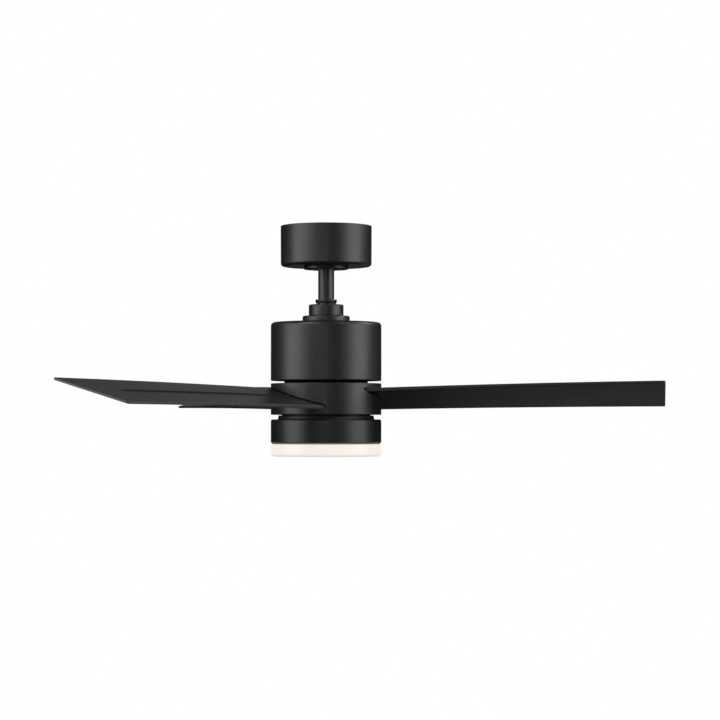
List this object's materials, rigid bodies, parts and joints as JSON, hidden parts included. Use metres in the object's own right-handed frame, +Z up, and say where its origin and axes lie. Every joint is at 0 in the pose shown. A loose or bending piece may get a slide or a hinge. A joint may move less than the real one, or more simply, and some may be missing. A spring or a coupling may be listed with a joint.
{
  "type": "ceiling fan with light",
  "caption": "Satin black ceiling fan on a short downrod, with pitched blades passing through slots in a drum hub and a flat round light under an opal lens.",
  "frame": {"origin": "on the fan's axis at the ceiling, on the top face of the hanger bracket", "axes": "+Z up into the ceiling along the fan's axis, -Y towards the viewer, the first blade 8.1 degrees clockwise of +X"},
  "size_m": [0.9688, 1.0313, 0.3828],
  "materials": {
    "black_paint": "satin",
    "black_aluminium": "satin black paint",
    "blade_black": "satin, fine moulded grain",
    "zinc_steel": "zinc plated",
    "green_paint": "gloss",
    "lamination_steel": "varnished laminations",
    "copper": "enamelled wire",
    "ferrite": "matt",
    "bearing_steel": "ground and polished",
    "cast_aluminium": "as cast",
    "ball_plastic": "moulded",
    "nylon": "moulded",
    "module_plastic": "moulded",
    "circuit_board": "solder mask",
    "board_white": "white solder mask",
    "led_phosphor": "clear over phosphor",
    "black_rubber": "matt",
    "opal_lens": "opal diffuser, warm white when lit"
  },
  "bodies": {
    "ceiling_mount": {"hanger_bracket": "zinc_steel", "canopy": "black_paint", "canopy_screws": "zinc_steel", "receiver_box": "module_plastic", "ground_screw": "green_paint"},
    "trim_ring": {"canopy_ring": "black_paint"},
    "swivel_seat": {"ball_seat_liner": "nylon"},
    "hanging": {"hanger_ball": "ball_plastic", "ball_cross_pin": "zinc_steel", "ball_set_screw": "zinc_steel", "downrod": "black_paint", "rod_collar": "black_aluminium", "coupling_cover": "black_aluminium", "coupling_base": "black_aluminium", "motor_yoke": "cast_aluminium", "clevis_pin": "zinc_steel", "cotter_pin": "zinc_steel", "yoke_set_screws": "zinc_steel", "yoke_lock_nuts": "zinc_steel", "motor_housing": "black_aluminium", "housing_screws": "zinc_steel", "housing_base_ring": "black_aluminium", "motor_shaft": "zinc_steel", "control_board": "circuit_board", "stator_core": "lamination_steel", "stator_windings": "copper", "upper_bearing_inner": "bearing_steel", "lower_bearing_inner": "bearing_steel", "light_kit_pan": "black_aluminium", "shaft_nuts": "zinc_steel", "light_housing": "black_aluminium", "light_housing_screws": "zinc_steel", "heat_sink": "cast_aluminium", "heat_sink_screws": "zinc_steel", "led_board": "board_white", "led_chips": "led_phosphor", "led_driver": "module_plastic"},
    "rotor": {"upper_bearing_outer": "bearing_steel", "upper_bearing_balls": "bearing_steel", "lower_bearing_outer": "bearing_steel", "lower_bearing_balls": "bearing_steel", "rotor_bell": "cast_aluminium", "rotor_base": "black_aluminium", "rotor_magnets": "ferrite", "rotor_screws": "zinc_steel", "blade_carrier": "cast_aluminium", "carrier_screws": "zinc_steel", "hub_shell": "black_aluminium", "hub_screws": "zinc_steel", "blade_pads": "black_rubber", "blade_screws": "zinc_steel", "blade_1": "blade_black", "blade_2": "blade_black", "blade_3": "blade_black"},
    "lens": {"lens": "opal_lens", "lens_gasket": "black_rubber"}
  },
  "joints": [
    {"name": "trim_ring_twist", "type": "hinge", "parent": "ceiling_mount", "child": "trim_ring", "pos_m": [0, 0, -0.0695], "axis": [0, 0, 1], "range_deg": [0, 20]},
    {"name": "swivel_tip_x", "type": "hinge", "parent": "ceiling_mount", "child": "swivel_seat", "pos_m": [0, 0, -0.036], "axis": [1, 0, 0], "range_deg": [-3, 3]},
    {"name": "swivel_tip_y", "type": "hinge", "parent": "swivel_seat", "child": "hanging", "pos_m": [0, 0, -0.036], "axis": [0, 1, 0], "range_deg": [-3, 3]},
    {"name": "blade_spin", "type": "hinge", "parent": "hanging", "child": "rotor", "pos_m": [0, 0, -0.2878], "axis": [0, 0, 1], "continuous": true},
    {"name": "lens_twist", "type": "hinge", "parent": "hanging", "child": "lens", "pos_m": [0, 0, -0.37], "axis": [0, 0, 1], "range_deg": [0, 30]}
  ]
}
